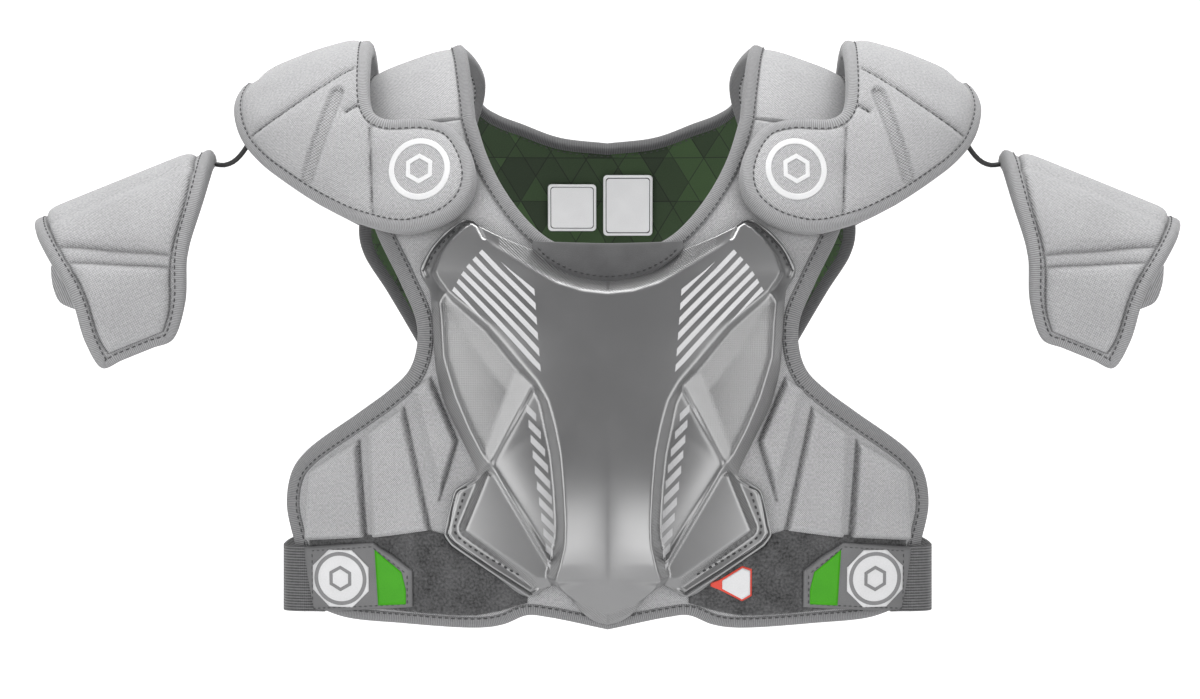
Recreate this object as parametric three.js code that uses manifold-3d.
// Lacrosse shoulder pads hung as they are worn: a padded chest sheet under a moulded plate, a lined back
// panel, two shoulder straps, two shoulder caps and two upper-arm pads on elastic cords.
// Millimetres, +Z up, the front faces -Y. Left and right are as seen from the front.
// The origin lies between the two shoulder straps, where the pads sit on a pair of shoulders.
import * as THREE from "three";
import { mergeVertices } from "three/addons/utils/BufferGeometryUtils.js";
import Module from "manifold-3d";

const wasm = await Module();
wasm.setup();

const HALF_OVERLAP = 0.5; // how far the two halves of a panel run into each other before they are fused
const GAP = 0.3; // clearance between pieces that touch
const LAYER_GAP = 0.8; // clearance between two curved layers
const SHEET = 6; // laminated foam sheet of the chest and back panels
const CELL_RISE = 7; // how far a foam cell stands out of the chest sheet
const CELL_SINK = 2; // how far a foam cell reaches into the sheet
const TAPE_WIDTH = 7; // sewn edge tape, seen from the front
const TAPE_PROUD = 0.9; // the tape over the face of the sheet it wraps
const CAP_TAPE = 8; // edge tape of the caps and arm pads
const YOKE_THICK = 8; // shoulder strap
const YOKE_SLOPE = 0.36; // fall of the strap towards the arm
const CAP_WALL = 9; // padded wall of a shoulder cap at its seams
const CAP_RISE = 3; // pillow of the panels between the seams
const ARM_WALL = 8; // padded wall of an arm pad
const ARM_RISE = 4; // pillow of its two panels
const ARM_DROP = THREE.MathUtils.degToRad(22); // fall of the upper arm
const ARM_START = { x: 236, z: -53 }; // upper inner corner of the arm pad
const PLATE_FLANGE = 2.6; // stitched rim of the chest plate
const LOOP_THICK = 1.3; // loop pile on the chest panel
const STRAP_THICK = 1.8; // elastic webbing
const TAB_THICK = 2.6; // moulded pull tab
const LINING_THICK = 1.2; // patterned lining of the back panel
const LABEL_THICK = 0.4; // woven label
const CORD_RADIUS = 1.5; // elastic cord

// Standing line of the chest at the middle (z up, y depth), and how the sheet wraps round the ribs.
const CHEST_PROFILE = [
  { z: -345, y: -107 },
  { z: -300, y: -115 },
  { z: -240, y: -121 },
  { z: -180, y: -121 },
  { z: -130, y: -114 },
  { z: -90, y: -102 },
  { z: -60, y: -88 },
  { z: -35, y: -72 },
  { z: -15, y: -54 },
];
const CHEST_WRAP = { depth: 64, at: 190, power: 2.2 };
const BACK_PROFILE = [
  { z: -320, y: 94 },
  { z: -240, y: 102 },
  { z: -180, y: 107 },
  { z: -120, y: 108 },
  { z: -80, y: 103 },
  { z: -50, y: 93 },
  { z: -25, y: 79 },
  { z: 0, y: 58 },
];
const BACK_WRAP = { depth: 42, at: 160, power: 2.2 };

// Edge of half the chest panel from the middle of the hem, round the rib wing, to the shoulder seam.
const FRONT_EDGE = [
  { x: 0, z: -333 },
  { x: 34, z: -326 },
  { x: 46, z: -325 },
  { x: 60, z: -330.5 },
  { x: 73, z: -332.5 },
  { x: 118, z: -331 },
  { x: 156, z: -328 },
  { x: 171, z: -321 },
  { x: 178.5, z: -306 },
  { x: 183.5, z: -287 },
  { x: 188.5, z: -263 },
  { x: 185, z: -243 },
  { x: 176, z: -231 },
  { x: 143, z: -207.5 },
  { x: 127, z: -196 },
  { x: 115, z: -184.5 },
  { x: 110.5, z: -172 },
  { x: 110.7, z: -157 },
  { x: 120, z: -135 },
  { x: 135, z: -105 },
  { x: 146, z: -72 },
  { x: 150, z: -46 },
];
const FRONT_NECK = [
  { x: 0, z: -116 },
  { x: 18, z: -115 },
  { x: 34, z: -108.5 },
  { x: 47, z: -97 },
  { x: 60, z: -79.5 },
  { x: 70, z: -60 },
  { x: 77.4, z: -37.4 },
];
const BACK_EDGE = [
  { x: 0, z: -310 },
  { x: 60, z: -309 },
  { x: 88, z: -304 },
  { x: 97, z: -292 },
  { x: 97, z: -262 },
  { x: 97, z: -232 },
  { x: 104, z: -196 },
  { x: 118, z: -170 },
  { x: 137, z: -137 },
  { x: 151, z: -114 },
  { x: 154, z: -100 },
  { x: 150, z: -75 },
  { x: 142.5, z: -42 },
  { x: 134.4, z: -15 },
];
const BACK_NECK = [
  { x: 0, z: -43.5 },
  { x: 30, z: -40 },
  { x: 53, z: -32 },
  { x: 67, z: -27 },
  { x: 76, z: -21.5 },
  { x: 80, z: -14 },
];

// Foam cells of a rib wing: corners in order, outer ones last.
const RIB_CELLS = [
  { ax: 143.5, az: -227, bx: 173, bz: -246, cx: 174, cz: -282, dx: 139.5, dz: -278 },
  { ax: 118, az: -208, bx: 138, bz: -223.5, cx: 136.5, cz: -278, dx: 102, dz: -272 },
  { ax: 104, az: -192.5, bx: 112.5, bz: -198.5, cx: 97, cz: -257, dx: 89, dz: -227 },
];

// Chest plate sections, hem first. Each runs from (0, mid) to (edge, end), straight at bow 1, and lists
// where the crown of the raised column, its foot, the scoop and the rim lie (x) and how high they and the
// crease stand (H).
const PLATE_ROWS = [
  { mid: -329, edge: 88, end: -284, bow: 0.9, creaseH: 2.6, crown: 13, crownH: 2.6, foot: 27, footH: 2.6,
    scoop: 50, scoopH: 2.6, rim: 72, rimH: 2.6 },
  { mid: -320, edge: 92.5, end: -277, bow: 0.9, creaseH: 7, crown: 12, crownH: 7, foot: 26, footH: 8,
    scoop: 50, scoopH: 7, rim: 78, rimH: 3 },
  { mid: -309, edge: 90.5, end: -268, bow: 0.9, creaseH: 10, crown: 18, crownH: 12, foot: 30, footH: 8,
    scoop: 50, scoopH: 10, rim: 76, rimH: 5 },
  { mid: -301, edge: 86, end: -255, bow: 0.9, creaseH: 18, crown: 24, crownH: 25, foot: 30, footH: 8,
    scoop: 52, scoopH: 14, rim: 72, rimH: 9 },
  { mid: -286, edge: 79, end: -249, bow: 0.9, creaseH: 17, crown: 22, crownH: 25, foot: 27, footH: 8,
    scoop: 46, scoopH: 12, rim: 66, rimH: 13 },
  { mid: -266, edge: 74, end: -244, bow: 0.9, creaseH: 20, crown: 22, crownH: 23, foot: 28, footH: 7,
    scoop: 48, scoopH: 9, rim: 65, rimH: 12 },
  { mid: -240, edge: 84, end: -225, bow: 0.9, creaseH: 20, crown: 24, crownH: 22, foot: 31, footH: 7,
    scoop: 55, scoopH: 11, rim: 72, rimH: 10 },
  { mid: -216, edge: 96.7, end: -203, bow: 0.9, creaseH: 19, crown: 27, crownH: 20, foot: 36, footH: 8,
    scoop: 62, scoopH: 10, rim: 83, rimH: 11 },
  { mid: -196, edge: 100.5, end: -184, bow: 0.9, creaseH: 17, crown: 34, crownH: 18, foot: 46, footH: 14,
    scoop: 70, scoopH: 9, rim: 88, rimH: 12 },
  { mid: -176, edge: 101, end: -166, bow: 0.9, creaseH: 15, crown: 48, crownH: 17, foot: 62, footH: 10,
    scoop: 78, scoopH: 9, rim: 90, rimH: 12 },
  { mid: -158, edge: 100.5, end: -153, bow: 0.9, creaseH: 13, crown: 66, crownH: 15, foot: 76, footH: 9,
    scoop: 85, scoopH: 9, rim: 93, rimH: 11 },
  { mid: -145, edge: 101, end: -141, bow: 0.9, creaseH: 11, crown: 60, crownH: 13, foot: 80, footH: 12,
    scoop: 88, scoopH: 11, rim: 95, rimH: 9 },
  { mid: -137, edge: 107, end: -128, bow: 1.1, creaseH: 6, crown: 50, crownH: 9, foot: 78, footH: 11,
    scoop: 92, scoopH: 8, rim: 100, rimH: 6 },
  { mid: -132, edge: 101.5, end: -116, bow: 1.3, creaseH: 4, crown: 45, crownH: 6.5, foot: 72, footH: 9,
    scoop: 84, scoopH: 8, rim: 95, rimH: 5 },
  { mid: -129, edge: 93, end: -106, bow: 1.5, creaseH: 3, crown: 42, crownH: 4.5, foot: 64, footH: 7,
    scoop: 76, scoopH: 6, rim: 87, rimH: 4 },
  { mid: -127, edge: 82, end: -98.5, bow: 1.7, creaseH: 2, crown: 40, crownH: 2, foot: 56, footH: 2,
    scoop: 68, scoopH: 2.6, rim: 76, rimH: 2.6 },
];
const PLATE_SEAT = 1; // the plate over the chest sheet
const PLATE_TOE_SEAT = 2.3; // its lowest rim, which lies on the hem tape

// Loop pile and pull tab on one rib wing: top and bottom edge along x.
const LOOP_ROWS = [
  { x: 48, top: -312.5, bottom: -317.5 },
  { x: 62, top: -302.5, bottom: -322 },
  { x: 75, top: -295.5, bottom: -324.6 },
  { x: 88, top: -288.5, bottom: -324.8 },
  { x: 97, top: -281, bottom: -324.6 },
  { x: 104, top: -276, bottom: -324 },
  { x: 124, top: -278.5, bottom: -322.6 },
  { x: 146, top: -281, bottom: -321 },
  { x: 160, top: -282.5, bottom: -316 },
  { x: 172, top: -284, bottom: -303 },
];
const TAB_ROWS = [
  { x: 111, top: -299, bottom: -320 },
  { x: 122, top: -290.5, bottom: -321 },
  { x: 134, top: -283.5, bottom: -322 },
  { x: 154, top: -285, bottom: -323.5 },
  { x: 172, top: -287, bottom: -325 },
];
const COLLAR_ROWS = [
  { x: -42, top: -114.5, bottom: -118 },
  { x: -36, top: -115, bottom: -123.5 },
  { x: -26, top: -115.5, bottom: -130 },
  { x: -13, top: -116, bottom: -134.5 },
  { x: 0, top: -116.5, bottom: -136 },
  { x: 13, top: -116, bottom: -134.5 },
  { x: 26, top: -115.5, bottom: -130 },
  { x: 36, top: -115, bottom: -123.5 },
  { x: 42, top: -114.5, bottom: -118 },
];
const COLLAR_LIFTS = { bottom: 9, top: 1.8 }; // the collar tab lies over the plate rim and the neck tape
const COLLAR_THICK = 2;
const TAG_ROWS = [
  { x: 69, top: -301.5, bottom: -311.5 },
  { x: 77, top: -296.5, bottom: -316.5 },
  { x: 82, top: -298, bottom: -314 },
];
const LABELS = [
  { name: "label_size", left: -38, right: -7, top: -66.5, bottom: -97 },
  { name: "label_standard", left: -2.5, right: 29, top: -60.5, bottom: -100 },
];

// Elastic strap round one side, from the pull tab to the lower corner of the back panel.
const STRAP_ROWS = [
  { x: 176.9, y: -65.8, z: -306 },
  { x: 184.6, y: -61, z: -306 },
  { x: 188, y: -51, z: -306 },
  { x: 188.6, y: -38, z: -305.5 },
  { x: 187, y: -14, z: -304 },
  { x: 177, y: 18, z: -300 },
  { x: 157, y: 50, z: -294 },
  { x: 130, y: 73, z: -287 },
  { x: 98.6, y: 83.5, z: -281 },
];
const STRAP_WIDTH = 38;

// Shoulder strap from the chest seam over the shoulder to the back panel: how far along, and both side edges.
const YOKE_EDGES = [
  { along: 0, neck: 77.4, arm: 150 },
  { along: 0.25, neck: 82.5, arm: 151 },
  { along: 0.5, neck: 86.4, arm: 148 },
  { along: 0.8, neck: 76.5, arm: 142 },
  { along: 1, neck: 83, arm: 134 },
];
const YOKE_TOP = { y: 2, z: 10.6, x: 86.4 }; // highest point of its neck edge
const YOKE_SEAM = { z: -37.4, fall: 0.12, x: 77.4 }; // chest seam
const YOKE_BACK = { z: -24, fall: 0.2, x: 78 }; // where it ends inside the back panel

// Shoulder cap: ridge height, half depth and drop to the hem along x.
const CAP_SPINE = [
  { x: 70, ridge: 14, half: 84, drop: 119 },
  { x: 119, ridge: 13.5, half: 83, drop: 118.5 },
  { x: 146, ridge: 11, half: 80, drop: 110 },
  { x: 168, ridge: 5.5, half: 76, drop: 94.5 },
  { x: 190, ridge: -2.5, half: 66, drop: 75 },
  { x: 205, ridge: -9, half: 56, drop: 60 },
  { x: 216, ridge: -15.5, half: 47, drop: 50 },
  { x: 226, ridge: -23, half: 40, drop: 43 },
];
const CAP_CLEAR = 14; // outer face of a cap flap over the panel it lies on
const CAP_FREE = { above: -34, slope: 2.5 }; // above this height the cap leaves the panels
const CAP_BLEND = 5; // how softly it does so
const CAP_ROUND = 2.25; // how square the arch of the cap is
// Folds of the cap from the ridge down to the hem: the angle at the neck and at the tip, and whether the fold
// lies on a seam (0) or on a pillow (1).
const CAP_ROWS = [
  { neckAngle: 0, tipAngle: 0, pillow: 1 },
  { neckAngle: 16, tipAngle: 27, pillow: 1 },
  { neckAngle: 29, tipAngle: 50, pillow: 1 },
  { neckAngle: 33, tipAngle: 58, pillow: 0 },
  { neckAngle: 38, tipAngle: 66, pillow: 1 },
  { neckAngle: 52, tipAngle: 74, pillow: 1 },
  { neckAngle: 68, tipAngle: 83, pillow: 1 },
  { neckAngle: 90, tipAngle: 90, pillow: 1 },
];
const CAP_STATIONS = [
  { x: 68, pillow: 1 },
  { x: 100, pillow: 1 },
  { x: 132, pillow: 1 },
  { x: 136.5, pillow: 0 },
  { x: 141, pillow: 1 },
  { x: 172, pillow: 1 },
  { x: 198, pillow: 1 },
  { x: 230, pillow: 1 },
];
const CAP_TAPE_ANGLES = [0, 24, 46, 56, 66, 78, 90];
const CAP_TAPE_ROWS = CAP_TAPE_ANGLES.map((angle) => ({ neckAngle: angle, tipAngle: angle, pillow: 0 }));
const CAP_TAPE_STATIONS = [68, 100, 136, 168, 194, 212, 230].map((x) => ({ x, pillow: 0 }));
// Outline of the cap seen from the front: down the neck edge, round the flap, along the hem, round the tip.
const CAP_EDGE = [
  { x: 140, z: 40 },
  { x: 140, z: 0 },
  { x: 137, z: -32 },
  { x: 131, z: -37.5 },
  { x: 105, z: -38.5 },
  { x: 90, z: -43.5 },
  { x: 80.5, z: -56 },
  { x: 76.5, z: -72 },
  { x: 80, z: -86 },
  { x: 91, z: -97 },
  { x: 107, z: -103.5 },
  { x: 122, z: -105 },
  { x: 146, z: -99.5 },
  { x: 168, z: -89 },
  { x: 189, z: -75.5 },
  { x: 203.5, z: -64.5 },
  { x: 214, z: -53 },
  { x: 219.6, z: -42 },
  { x: 222, z: -30 },
  { x: 219.6, z: -19 },
  { x: 213, z: -8 },
  { x: 206, z: 10 },
  { x: 200, z: 40 },
];

// Arm pad sections from its back edge over the top of the arm to its lower hem: depth y and height z in the
// frame of the arm, where the row starts and ends along the arm, and whether it lies on a seam or a pillow.
const ARM_ROWS = [
  { y: 40, z: -22, start: 28, end: 114, pillow: 0 },
  { y: 25, z: -6.5, start: 11, end: 115, pillow: 1 },
  { y: 8, z: -0.5, start: 2, end: 115.5, pillow: 1 },
  { y: -10, z: -0.5, start: 0, end: 115.5, pillow: 1 },
  { y: -23, z: -5, start: 2, end: 115, pillow: 0 },
  { y: -33, z: -11.5, start: 5, end: 114, pillow: 1 },
  { y: -45, z: -28, start: 15, end: 111, pillow: 1 },
  { y: -50, z: -46, start: 28, end: 107.5, pillow: 1 },
  { y: -51, z: -52.5, start: 32, end: 107, pillow: 0 },
  { y: -51, z: -59, start: 35.5, end: 107, pillow: 1 },
  { y: -46, z: -82, start: 46, end: 109.5, pillow: 1 },
  { y: -36, z: -99, start: 62, end: 107, pillow: 0 },
];
const ARM_STATIONS = [
  { along: 0, rim: 0, pillow: 0 },
  { along: 0.17, rim: 0.28, pillow: 1 },
  { along: 0.5, rim: 0.5, pillow: 1 },
  { along: 0.83, rim: 0.72, pillow: 1 },
  { along: 1, rim: 1, pillow: 0 },
];
// Elastic strap closing the arm loop behind and below the arm.
const ARM_STRAP_ROWS = [
  { y: 36.7, z: -25.7, start: 74, end: 122 },
  { y: 43, z: -36, start: 74, end: 126 },
  { y: 45.5, z: -47, start: 74, end: 126 },
  { y: 44.5, z: -57, start: 74, end: 116 },
  { y: 40, z: -69, start: 74, end: 105 },
  { y: 28, z: -83, start: 74, end: 103 },
  { y: 9, z: -91.5, start: 74, end: 102 },
  { y: -12, z: -94, start: 74, end: 102 },
  { y: -27.5, z: -93.2, start: 74, end: 102 },
];

// Materials: colour, roughness, metalness.
const LOOKS = {
  fabric: { color: 0xc3c4c6, roughness: 0.85, metalness: 0 },
  tape: { color: 0x97989c, roughness: 0.8, metalness: 0 },
  plate: { color: 0x828383, roughness: 0.45, metalness: 0 },
  neoprene: { color: 0x707274, roughness: 0.8, metalness: 0 },
  pile: { color: 0x484a4c, roughness: 0.95, metalness: 0 },
  elastic: { color: 0x5c5e60, roughness: 0.85, metalness: 0 },
  rubber: { color: 0x6e7072, roughness: 0.5, metalness: 0 },
  red: { color: 0xbe3728, roughness: 0.7, metalness: 0 },
  darkTape: { color: 0x555658, roughness: 0.8, metalness: 0 },
  lining: { color: 0x263a22, roughness: 0.85, metalness: 0 },
  label: { color: 0xe6e6e6, roughness: 0.7, metalness: 0 },
  cord: { color: 0x141414, roughness: 0.75, metalness: 0 },
};

// Smooth curve through one column of a table against another, without overshoot.
function smoothColumn(rows, from, to) {
  const at = rows.map((row) => row[from]);
  const value = rows.map((row) => row[to]);
  const last = rows.length - 1;
  const rise = [];
  for (let i = 0; i < last; i++) rise.push((value[i + 1] - value[i]) / (at[i + 1] - at[i]));
  const slope = [rise[0]];
  for (let i = 1; i < last; i++) {
    const turns = rise[i - 1] * rise[i] <= 0;
    slope.push(turns ? 0 : (2 * rise[i - 1] * rise[i]) / (rise[i - 1] + rise[i]));
  }
  slope.push(rise[last - 1]);
  return (position) => {
    let i = 0;
    while (i < last - 1 && position > at[i + 1]) i += 1;
    const span = at[i + 1] - at[i];
    const t = (position - at[i]) / span;
    if (t < 0) return value[0] + slope[0] * (position - at[0]);
    if (t > 1) return value[last] + slope[last] * (position - at[last]);
    const ease = t * t * (3 - 2 * t);
    const lead = t * (1 - t) * (1 - t) * slope[i] * span;
    const trail = t * t * (1 - t) * slope[i + 1] * span;
    return value[i] * (1 - ease) + value[i + 1] * ease + lead - trail;
  };
}

const vector = (x, y, z) => new THREE.Vector3(x, y, z);
const mix = (a, b, t) => a + (b - a) * t;
const steps = (count) => Array.from({ length: count + 1 }, (_, i) => i / count);
const flip = (point) => vector(-point.x, point.y, point.z);

// A standing sheet y = depth(x, z): points lifted off its face, and the way its face looks.
function sheetSurface(profile, wrap, facing) {
  const line = smoothColumn(profile, "z", "y");
  const depth = (x, z) => line(z) - facing * wrap.depth * Math.pow(Math.abs(x) / wrap.at, wrap.power);
  const normal = (x, z) => {
    const slopeX = (depth(x + 0.5, z) - depth(x - 0.5, z)) * facing;
    const slopeZ = (depth(x, z + 0.5) - depth(x, z - 0.5)) * facing;
    return vector(-slopeX, facing, -slopeZ).normalize();
  };
  const point = (x, z, lift) => vector(x, depth(x, z), z).addScaledVector(normal(x, z), lift);
  return { point, normal, depth };
}
const chest = sheetSurface(CHEST_PROFILE, CHEST_WRAP, -1);
const back = sheetSurface(BACK_PROFILE, BACK_WRAP, 1);

// Turns the faces outwards when the body was wound inside out.
function closedBody(points, faces) {
  let volume = 0;
  for (const [a, b, c] of faces) volume += points[a].dot(vector(0, 0, 0).crossVectors(points[b], points[c]));
  const wound = volume > 0 ? faces : faces.map(([a, b, c]) => [a, c, b]);
  const numbers = points.flatMap(({ x, y, z }) => [x, y, z]);
  const geometry = new THREE.BufferGeometry();
  geometry.setAttribute("position", new THREE.Float32BufferAttribute(numbers, 3));
  geometry.setIndex(wound.flat());
  return geometry;
}

// Closed wall between an outer and an inner grid of points, each given as rows of points.
function wallBetween(outer, inner) {
  const rows = outer.length;
  const columns = outer[0].length;
  const points = [...outer.flat(), ...inner.flat()];
  const depth = rows * columns;
  const at = (r, c) => r * columns + c;
  const faces = [];
  const quad = (a, b, c, d) => faces.push([a, b, c], [a, c, d]);
  for (let r = 0; r + 1 < rows; r++) {
    for (let c = 0; c + 1 < columns; c++) {
      quad(at(r, c), at(r, c + 1), at(r + 1, c + 1), at(r + 1, c));
      quad(depth + at(r, c), depth + at(r + 1, c), depth + at(r + 1, c + 1), depth + at(r, c + 1));
    }
    const end = columns - 1;
    quad(at(r, 0), at(r + 1, 0), depth + at(r + 1, 0), depth + at(r, 0));
    quad(at(r + 1, end), at(r, end), depth + at(r, end), depth + at(r + 1, end));
  }
  for (let c = 0; c + 1 < columns; c++) {
    const end = rows - 1;
    quad(at(0, c + 1), at(0, c), depth + at(0, c), depth + at(0, c + 1));
    quad(at(end, c), at(end, c + 1), depth + at(end, c + 1), depth + at(end, c));
  }
  return closedBody(points, faces);
}

// Body swept through a list of rings of points; a loop joins its last ring to its first.
function sweptBody(rings, loop) {
  const sides = rings[0].length;
  const points = rings.flat();
  const faces = [];
  const spans = loop ? rings.length : rings.length - 1;
  for (let r = 0; r < spans; r++) {
    const next = (r + 1) % rings.length;
    for (let s = 0; s < sides; s++) {
      const side = (s + 1) % sides;
      faces.push([r * sides + s, next * sides + s, next * sides + side]);
      faces.push([r * sides + s, next * sides + side, r * sides + side]);
    }
  }
  const first = (rings.length - 1) * sides;
  for (let s = 1; !loop && s + 1 < sides; s++) {
    faces.push([0, s, s + 1]);
    faces.push([first, first + s + 1, first + s]);
  }
  return closedBody(points, faces);
}

// Edge tape: a folded strip seen as five corners round the edge of a wall of the given thickness.
function tapeBody(frames, width, thickness, loop) {
  const half = thickness / 2 + TAPE_PROUD;
  const corners = [
    { across: width, out: half },
    { across: 1.4, out: half },
    { across: 0, out: 0 },
    { across: 1.4, out: -half },
    { across: width, out: -half },
  ];
  const ring = ({ centre, inward, normal }) => corners.map(({ across, out }) =>
    centre.clone().addScaledVector(inward, across).addScaledVector(normal, out));
  return sweptBody(frames.map(ring), loop);
}

const smoothCurve = (points) => new THREE.CatmullRomCurve3(points, false, "centripetal");
const smoothEdge = (rows) => smoothCurve(rows.map(({ x, z }) => vector(x, 0, z)));

// Frames along part of an edge drawn on a sheet; turn tells on which side of the edge the sheet lies.
function edgeFrames(surface, edge, from, to, count, turn) {
  return steps(count).map((step) => {
    const t = mix(from, to, step);
    const place = edge.getPointAt(t);
    const along = edge.getTangentAt(t);
    const centre = surface.point(place.x, place.z, -SHEET / 2);
    const inside = surface.point(place.x - turn * along.z, place.z + turn * along.x, -SHEET / 2);
    return { centre, inward: inside.sub(centre).normalize(), normal: surface.normal(place.x, place.z) };
  });
}
const insetBy = (frames, distance) => frames.map(({ centre, inward }) =>
  centre.clone().addScaledVector(inward, distance));
const flipFrames = (frames) => frames.map(({ centre, inward, normal }) =>
  ({ centre: flip(centre), inward: flip(inward), normal: flip(normal) })).reverse();

// Grid filled in between four edges given as points.
function fillPatch(bottom, top, inner, outer) {
  const last = inner.length - 1;
  const end = bottom.length - 1;
  return inner.map((_, r) => bottom.map((__, c) => {
    const u = c / end;
    const v = r / last;
    const blend = (key) => mix(bottom[c][key], top[c][key], v) + mix(inner[r][key], outer[r][key], u)
      - mix(mix(bottom[0][key], bottom[end][key], u), mix(top[0][key], top[end][key], u), v);
    return { x: blend("x"), z: blend("z") };
  }));
}

function toSolid(geometry) {
  const merged = mergeVertices(geometry, 1e-4);
  return new wasm.Manifold(new wasm.Mesh({
    numProp: 3,
    vertProperties: new Float32Array(merged.attributes.position.array),
    triVerts: new Uint32Array(merged.index.array),
  }));
}
function fromSolid(solid) {
  const mesh = solid.getMesh();
  const geometry = new THREE.BufferGeometry();
  geometry.setAttribute("position", new THREE.Float32BufferAttribute(mesh.vertProperties, 3));
  geometry.setIndex(Array.from(mesh.triVerts));
  return geometry;
}
function mirrored(geometry) {
  const copy = geometry.clone();
  copy.scale(-1, 1, 1);
  const index = copy.index.array;
  for (let i = 0; i < index.length; i += 3) [index[i], index[i + 1]] = [index[i + 1], index[i]];
  return copy;
}

// Half of a sheet panel between its outer edge and its neckline, and the frames of both edges.
function halfPanel(surface, edgeRows, neckRows, plan) {
  const edge = smoothEdge(edgeRows);
  const neck = smoothEdge(neckRows);
  const hem = edgeFrames(surface, edge, 0, plan.corner, plan.across, 1);
  const flank = edgeFrames(surface, edge, plan.corner, plan.waist, plan.below, 1).slice(1);
  const armhole = edgeFrames(surface, edge, plan.waist, 1, plan.above, 1).slice(1);
  const collar = edgeFrames(surface, neck, 0, 1, plan.above, -1);
  const bottom = insetBy(hem, plan.inset);
  const outer = insetBy([hem[plan.across], ...flank, ...armhole], plan.inset);
  const neckline = insetBy(collar, plan.inset);
  bottom[0].x = -HALF_OVERLAP;
  neckline[0].x = -HALF_OVERLAP;
  const middle = steps(plan.below).map((t) => vector(-HALF_OVERLAP, 0, mix(bottom[0].z, neckline[0].z, t)));
  const inner = [...middle, ...neckline.slice(1)];
  const last = inner.length - 1;
  const top = steps(plan.across).map((t) =>
    vector(mix(inner[last].x, outer[last].x, t), 0, mix(inner[last].z, outer[last].z, t)));
  const grid = fillPatch(bottom, top, inner, outer);
  const face = (lift) => grid.map((row) => row.map(({ x, z }) => surface.point(x, z, lift)));
  return { face, edge: [...hem, ...flank, ...armhole], neck: collar };
}

// Chest panel: two halves and their foam cells fused into one sheet.
const FRONT_PLAN = { corner: 0.24, waist: 0.66, across: 7, below: 12, above: 8, inset: TAPE_WIDTH + GAP };
const front = halfPanel(chest, FRONT_EDGE, FRONT_NECK, FRONT_PLAN);
function ribCell(cell) {
  const stations = [
    { at: 0, lift: -1 },
    { at: 0.14, lift: CELL_RISE },
    { at: 0.86, lift: CELL_RISE },
    { at: 1, lift: -1 },
  ];
  const place = (u, v, lift) => {
    const x = mix(mix(cell.ax, cell.bx, u), mix(cell.dx, cell.cx, u), v);
    const z = mix(mix(cell.az, cell.bz, u), mix(cell.dz, cell.cz, u), v);
    return chest.point(x, z, lift);
  };
  const outer = stations.map((row) => stations.map((column) =>
    place(column.at, row.at, Math.min(row.lift, column.lift))));
  const inner = stations.map((row) => stations.map((column) => place(column.at, row.at, -CELL_SINK)));
  return wallBetween(outer, inner);
}
function frontPanel() {
  const half = wallBetween(front.face(0), front.face(-SHEET));
  let body = toSolid(half).add(toSolid(mirrored(half)));
  for (const cell of RIB_CELLS) {
    const pad = ribCell(cell);
    body = body.add(toSolid(pad)).add(toSolid(mirrored(pad)));
  }
  return fromSolid(body);
}

// Chest plate: rows of sections, each mirrored about the middle crease.
function chestPlate() {
  const outer = [];
  const inner = [];
  for (const row of PLATE_ROWS) {
    const half = [
      { x: row.crown / 2, lift: mix(row.creaseH, row.crownH, 0.5) },
      { x: row.crown, lift: row.crownH },
      { x: row.foot, lift: row.footH },
      { x: row.scoop, lift: row.scoopH },
      { x: row.rim, lift: row.rimH },
      { x: row.edge, lift: PLATE_FLANGE },
    ];
    const section = [
      ...half.map(({ x, lift }) => ({ x: -x, lift })).reverse(),
      { x: 0, lift: row.creaseH },
      ...half,
    ];
    const height = (x) => mix(row.mid, row.end, Math.pow(Math.abs(x) / row.edge, row.bow));
    const seat = row === PLATE_ROWS[0] ? PLATE_TOE_SEAT : PLATE_SEAT;
    outer.push(section.map(({ x, lift }) => chest.point(x, height(x), seat + lift)));
    inner.push(section.map(({ x }) => chest.point(x, height(x), seat)));
  }
  return wallBetween(outer, inner);
}

// Flat patch lying on a sheet: a column of points for each row of the table, lifted from bottom to top.
function patchOn(surface, rows, lifts, thickness, across) {
  const grid = (height) => rows.map(({ x, top, bottom }) => steps(across).map((t) =>
    surface.point(x, mix(bottom, top, t), mix(lifts.bottom, lifts.top, t) + height)));
  return wallBetween(grid(thickness), grid(0));
}
const level = (lift) => ({ bottom: lift, top: lift });

// Shoulder strap: an arch from the chest seam to the inside of the back panel at each place across.
const yokeNeck = smoothColumn(YOKE_EDGES, "along", "neck");
const yokeArm = smoothColumn(YOKE_EDGES, "along", "arm");
const YOKE_INSIDE = -(SHEET + LINING_THICK + 3);
function yokeArch(x) {
  const seamZ = YOKE_SEAM.z - YOKE_SEAM.fall * (x - YOKE_SEAM.x);
  const start = chest.point(x, seamZ, 0);
  const rise = chest.point(x, seamZ + 1, 0).sub(start).setX(0).normalize();
  const top = vector(x, YOKE_TOP.y, YOKE_TOP.z - YOKE_SLOPE * (x - YOKE_TOP.x));
  const endZ = YOKE_BACK.z - YOKE_BACK.fall * (x - YOKE_BACK.x);
  const end = back.point(x, endZ, YOKE_INSIDE);
  const fall = back.point(x, endZ + 1, YOKE_INSIDE).sub(end).setX(0).normalize();
  const frontReach = (top.z - start.z) * 0.62;
  const backReach = (top.z - end.z) * 0.45;
  const frontRun = (top.y - start.y) * 0.45;
  const backRun = (end.y - top.y) * 0.34;
  const front = new THREE.CubicBezierCurve3(
    start, start.clone().addScaledVector(rise, frontReach), top.clone().add(vector(0, -frontRun, 0)), top);
  const rear = new THREE.CubicBezierCurve3(
    top, top.clone().add(vector(0, backRun, 0)), end.clone().addScaledVector(fall, backReach), end);
  return (along) => (along < 0.5 ? front.getPoint(along * 2) : rear.getPoint(along * 2 - 1));
}
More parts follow.
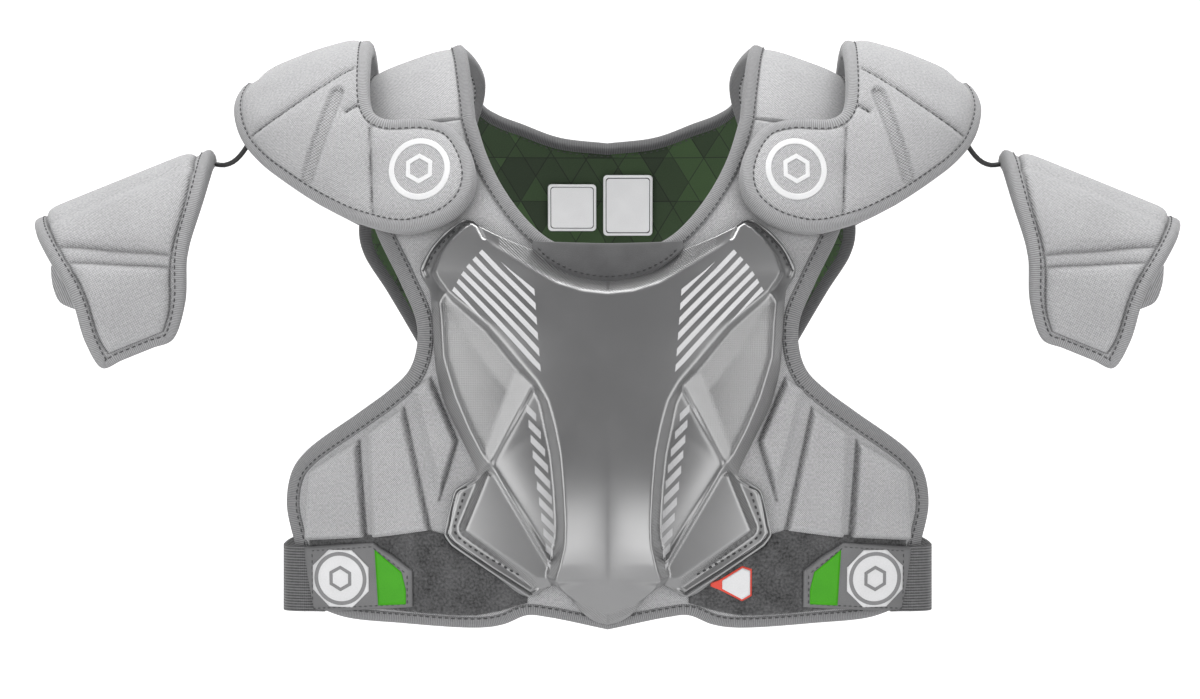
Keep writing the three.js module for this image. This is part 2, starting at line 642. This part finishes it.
// A point of the strap: how far along it, the place across it in x, and how far off its face.
function yokePoint(along, x, lift) {
  const point = yokeArch(x)(along);
  const ahead = yokeArch(x)(Math.min(1, along + 0.002)).sub(yokeArch(x)(Math.max(0, along - 0.002)));
  const aside = yokeArch(x + 0.5)(along).sub(yokeArch(x - 0.5)(along));
  const normal = vector(0, 0, 0).crossVectors(aside, ahead).normalize();
  return { point: point.addScaledVector(normal, lift), normal };
}
const YOKE_STEPS = 11;
function yokeBody() {
  const grid = (lift) => steps(YOKE_STEPS).map((along) => {
    const place = Math.max(along, 0.006);
    const from = yokeNeck(along) + TAPE_WIDTH + 2 * GAP;
    const to = yokeArm(along) - TAPE_WIDTH - 2 * GAP;
    return steps(3).map((across) => yokePoint(place, mix(from, to, across), lift).point);
  });
  return wallBetween(grid(0), grid(-YOKE_THICK));
}
// Frames of one long edge of the strap, from its back end to the chest seam.
function yokeFrames(edgeAt, turn) {
  return steps(YOKE_STEPS).reverse().slice(0, -1).map((along) => {
    const x = edgeAt(along);
    const reach = along < 0.12 ? mix(SHEET, YOKE_THICK, along / 0.12) : YOKE_THICK;
    const { point, normal } = yokePoint(along, x, -reach / 2);
    const inside = yokePoint(along, x + turn, -reach / 2).point;
    return { centre: point, inward: inside.sub(point).normalize(), normal };
  });
}

function frontTape(frames, edgeAt, yokeTurn) {
  const side = [...yokeFrames(edgeAt, yokeTurn), ...frames.slice().reverse()];
  return tapeBody([...side, ...flipFrames(side).slice(1)], TAPE_WIDTH, SHEET + 1, false);
}

// Back panel: a sheet, its lining on the inside and the tape round it.
const BACK_PLAN = { corner: 0.215, waist: 0.52, across: 5, below: 7, above: 7, inset: TAPE_WIDTH + GAP };
const LINING_PLAN = { ...BACK_PLAN, across: 4, below: 6, above: 5, inset: TAPE_WIDTH + 5 * GAP };
const rear = halfPanel(back, BACK_EDGE, BACK_NECK, BACK_PLAN);
const lined = halfPanel(back, BACK_EDGE, BACK_NECK, LINING_PLAN);
function backLayer(panel, outside, thickness) {
  const half = wallBetween(panel.face(outside), panel.face(outside - thickness));
  return fromSolid(toSolid(half).add(toSolid(mirrored(half))));
}
function backTape() {
  const side = [...rear.edge, ...rear.neck.slice().reverse()];
  return tapeBody([...side, ...flipFrames(side).slice(1, -1)], TAPE_WIDTH, SHEET + 2 * LINING_THICK, true);
}

// Elastic strap: flat webbing following its rows, with its width standing up.
function ribStrap() {
  const path = smoothCurve(STRAP_ROWS.map(({ x, y, z }) => vector(x, y, z)));
  const stations = steps(14).map((t) => {
    const point = path.getPointAt(t);
    const along = path.getTangentAt(t);
    const outwards = vector(along.y, -along.x, 0).normalize();
    return { point, outwards };
  });
  const side = (lift) => stations.map(({ point, outwards }) => [-1, 1].map((end) =>
    point.clone().addScaledVector(outwards, lift).add(vector(0, 0, (end * STRAP_WIDTH) / 2))));
  return wallBetween(side(STRAP_THICK), side(0));
}

// Shoulder cap: rows run from the front hem over the ridge to the back hem.
const capRidge = smoothColumn(CAP_SPINE, "x", "ridge");
const capHalf = smoothColumn(CAP_SPINE, "x", "half");
const capDrop = smoothColumn(CAP_SPINE, "x", "drop");
function capShell(x, angle) {
  const turn = THREE.MathUtils.degToRad(angle);
  const power = 2 / CAP_ROUND;
  const arch = capHalf(x) * Math.pow(Math.abs(Math.sin(turn)), power);
  const z = capRidge(x) - capDrop(x) * (1 - Math.pow(Math.max(0, Math.cos(turn)), power));
  const panel = turn < 0 ? -chest.depth(x, z) : back.depth(x, z);
  const layer = panel + CAP_CLEAR - CAP_FREE.slope * Math.max(0, z - CAP_FREE.above);
  const reach = (arch + layer + Math.hypot(arch - layer, CAP_BLEND)) / 2;
  return vector(x, turn === 0 ? 0 : Math.sign(turn) * reach, z);
}
function capPoint(x, angle, lift) {
  const point = capShell(x, angle);
  const low = Math.max(-90, angle - 1);
  const high = Math.min(90, angle + 1);
  const round = capShell(x, high).sub(capShell(x, low));
  const along = capShell(x + 0.5, angle).sub(capShell(x - 0.5, angle));
  const normal = vector(0, 0, 0).crossVectors(along, round).normalize();
  return { point: point.addScaledVector(normal, lift), normal };
}
const CAP_REACH = { neck: 68, tip: 230 };
// Wall of the cap before it is trimmed: the folds of its front, mirrored to its back.
function capWall(rows, stations, proud, thickness) {
  const folds = [
    ...rows.slice(1).reverse().map((row) => ({ ...row, facing: -1 })),
    ...rows.map((row) => ({ ...row, facing: 1 })),
  ];
  const grid = (height) => folds.map((row) => stations.map(({ x, pillow }) => {
    const along = (x - CAP_REACH.neck) / (CAP_REACH.tip - CAP_REACH.neck);
    const angle = row.facing * mix(row.neckAngle, row.tipAngle, along);
    return capPoint(x, angle, height(row.pillow * pillow)).point;
  }));
  return toSolid(wallBetween(grid((pillow) => proud + CAP_RISE * pillow), grid(() => -thickness)));
}
// Upright prism behind the outline of the cap, drawn in by a distance.
function capPrism(inset) {
  const edge = smoothEdge(CAP_EDGE);
  const outline = steps(29).map((t) => {
    const place = edge.getPointAt(t);
    const along = edge.getTangentAt(t);
    return new THREE.Vector2(place.x - inset * along.z, place.z + inset * along.x);
  });
  const prism = new THREE.ExtrudeGeometry(new THREE.Shape(outline), { depth: 240, bevelEnabled: false });
  prism.deleteAttribute("normal");
  prism.deleteAttribute("uv");
  prism.rotateX(Math.PI / 2);
  prism.translate(0, 120, 0);
  return toSolid(prism);
}
function capBody() {
  const wall = capWall(CAP_ROWS, CAP_STATIONS, 0, CAP_WALL);
  return fromSolid(wall.intersect(capPrism(CAP_TAPE + GAP)));
}
function capTape() {
  const wall = capWall(CAP_TAPE_ROWS, CAP_TAPE_STATIONS, TAPE_PROUD, CAP_WALL + TAPE_PROUD);
  return fromSolid(wall.intersect(capPrism(0).subtract(capPrism(CAP_TAPE))));
}

// Arm pad in the frame of the arm: x along it, z up from its top line.
const armFrame = new THREE.Matrix4().makeRotationY(ARM_DROP).setPosition(ARM_START.x, 0, ARM_START.z);
function armPoint(rows, r, along, lift) {
  const before = rows[Math.max(0, r - 1)];
  const after = rows[Math.min(rows.length - 1, r + 1)];
  const normal = vector(0, after.z - before.z, before.y - after.y).normalize();
  const { y, z, start, end } = rows[r];
  return { point: vector(mix(start, end, along), y, z).addScaledVector(normal, lift), normal };
}
// Places round the rim of the arm pad as row and station numbers.
function armRim() {
  const last = ARM_ROWS.length - 1;
  const end = ARM_STATIONS.length - 1;
  const up = ARM_ROWS.map((_, r) => ({ r, c: end }));
  const down = ARM_ROWS.map((_, r) => ({ r, c: 0 })).reverse();
  const hem = ARM_STATIONS.map((_, c) => ({ r: last, c })).slice(1, -1).reverse();
  const top = ARM_STATIONS.map((_, c) => ({ r: 0, c })).slice(1, -1);
  return [...up, ...hem, ...down, ...top];
}
function armFrames() {
  const rim = armRim();
  const place = ({ r, c }) => armPoint(ARM_ROWS, r, ARM_STATIONS[c].rim, -ARM_WALL / 2);
  return rim.map((spot, i) => {
    const { point, normal } = place(spot);
    const before = place(rim[(i + rim.length - 1) % rim.length]).point;
    const after = place(rim[(i + 1) % rim.length]).point;
    const inward = vector(0, 0, 0).crossVectors(after.sub(before), normal).normalize();
    return { spot, centre: point, inward, normal };
  });
}
function armBody() {
  const grid = (lift) => ARM_ROWS.map((row, r) => ARM_STATIONS.map(({ along, pillow }) =>
    armPoint(ARM_ROWS, r, along, lift(row.pillow * pillow)).point));
  const outer = grid((pillow) => ARM_RISE * pillow);
  const inner = grid(() => -ARM_WALL);
  for (const { spot, centre, inward, normal } of armFrames()) {
    const rim = centre.clone().addScaledVector(inward, CAP_TAPE + 3 * GAP);
    outer[spot.r][spot.c] = rim.clone().addScaledVector(normal, ARM_WALL / 2);
    inner[spot.r][spot.c] = rim.clone().addScaledVector(normal, -ARM_WALL / 2);
  }
  return wallBetween(outer, inner).applyMatrix4(armFrame);
}
const armTape = () => tapeBody(armFrames(), CAP_TAPE, ARM_WALL, true).applyMatrix4(armFrame);
function armStrap() {
  const side = (lift) => ARM_STRAP_ROWS.map((_, r) =>
    steps(1).map((along) => armPoint(ARM_STRAP_ROWS, r, along, lift).point));
  return wallBetween(side(0), side(-STRAP_THICK)).applyMatrix4(armFrame);
}

// Elastic cord: it lies along the inside of the cap, leaves under its tip and is sewn to the arm pad.
const CORD_ROUTE = [
  { x: 189.5, y: -22.6, z: -18.7 },
  { x: 196.9, y: -22, z: -22 },
  { x: 202.9, y: -21.1, z: -25.2 },
  { x: 217, y: -20, z: -52 },
  { x: 222.5, y: -20, z: -60 },
  { x: 228, y: -18.5, z: -63 },
  { x: 233.4, y: -17, z: -62.4 },
];
function capCord() {
  const path = smoothCurve(CORD_ROUTE.map(({ x, y, z }) => vector(x, y, z)));
  const round = new THREE.Shape().absarc(0, 0, CORD_RADIUS, 0, Math.PI * 2);
  const cord = new THREE.ExtrudeGeometry(round, { curveSegments: 4, steps: 7, extrudePath: path });
  cord.deleteAttribute("normal");
  cord.deleteAttribute("uv");
  return mergeVertices(cord, 1e-4);
}

const pads = new THREE.Group();
pads.name = "lacrosse_shoulder_pads";
function addPiece(name, geometry, look) {
  const mesh = new THREE.Mesh(geometry, new THREE.MeshStandardMaterial(look));
  mesh.name = name;
  pads.add(mesh);
}
function addPair(name, geometry, look) {
  addPiece(`${name}_right`, geometry, look);
  addPiece(`${name}_left`, mirrored(geometry), look);
}

const loopPatch = patchOn(chest, LOOP_ROWS, level(LAYER_GAP), LOOP_THICK, 2);
const tabLift = level(LAYER_GAP + LOOP_THICK + GAP);
const labelLift = level(-SHEET - LINING_THICK - 3 * LAYER_GAP - LABEL_THICK);
addPiece("front_panel", frontPanel(), LOOKS.fabric);
addPiece("neck_binding", frontTape(front.neck, yokeNeck, 1), LOOKS.tape);
addPiece("edge_binding", frontTape(front.edge, yokeArm, -1), LOOKS.tape);
addPiece("chest_plate", chestPlate(), LOOKS.plate);
addPiece("collar_tab", patchOn(chest, COLLAR_ROWS, COLLAR_LIFTS, COLLAR_THICK, 2), LOOKS.neoprene);
addPair("loop_patch", loopPatch, LOOKS.pile);
addPair("strap_tab", patchOn(chest, TAB_ROWS, tabLift, TAB_THICK, 2), LOOKS.rubber);
addPair("rib_strap", ribStrap(), LOOKS.elastic);
addPiece("side_tag", patchOn(chest, TAG_ROWS, tabLift, LABEL_THICK, 1), LOOKS.red);
addPair("yoke", yokeBody(), LOOKS.fabric);
addPiece("back_panel", backLayer(rear, 0, SHEET), LOOKS.fabric);
addPiece("back_lining", backLayer(lined, -SHEET - LAYER_GAP, LINING_THICK), LOOKS.lining);
addPiece("back_binding", backTape(), LOOKS.darkTape);
for (const { name, left, right, top, bottom } of LABELS) {
  const rows = steps(2).map((t) => ({ x: mix(left, right, t), top, bottom }));
  addPiece(name, patchOn(back, rows, labelLift, LABEL_THICK, 2), LOOKS.label);
}
addPair("cap", capBody(), LOOKS.fabric);
addPair("cap_binding", capTape(), LOOKS.tape);
addPair("arm_pad", armBody(), LOOKS.fabric);
addPair("arm_binding", armTape(), LOOKS.tape);
addPair("arm_strap", armStrap(), LOOKS.elastic);
addPair("cap_cord", capCord(), LOOKS.cord);

export default pads;
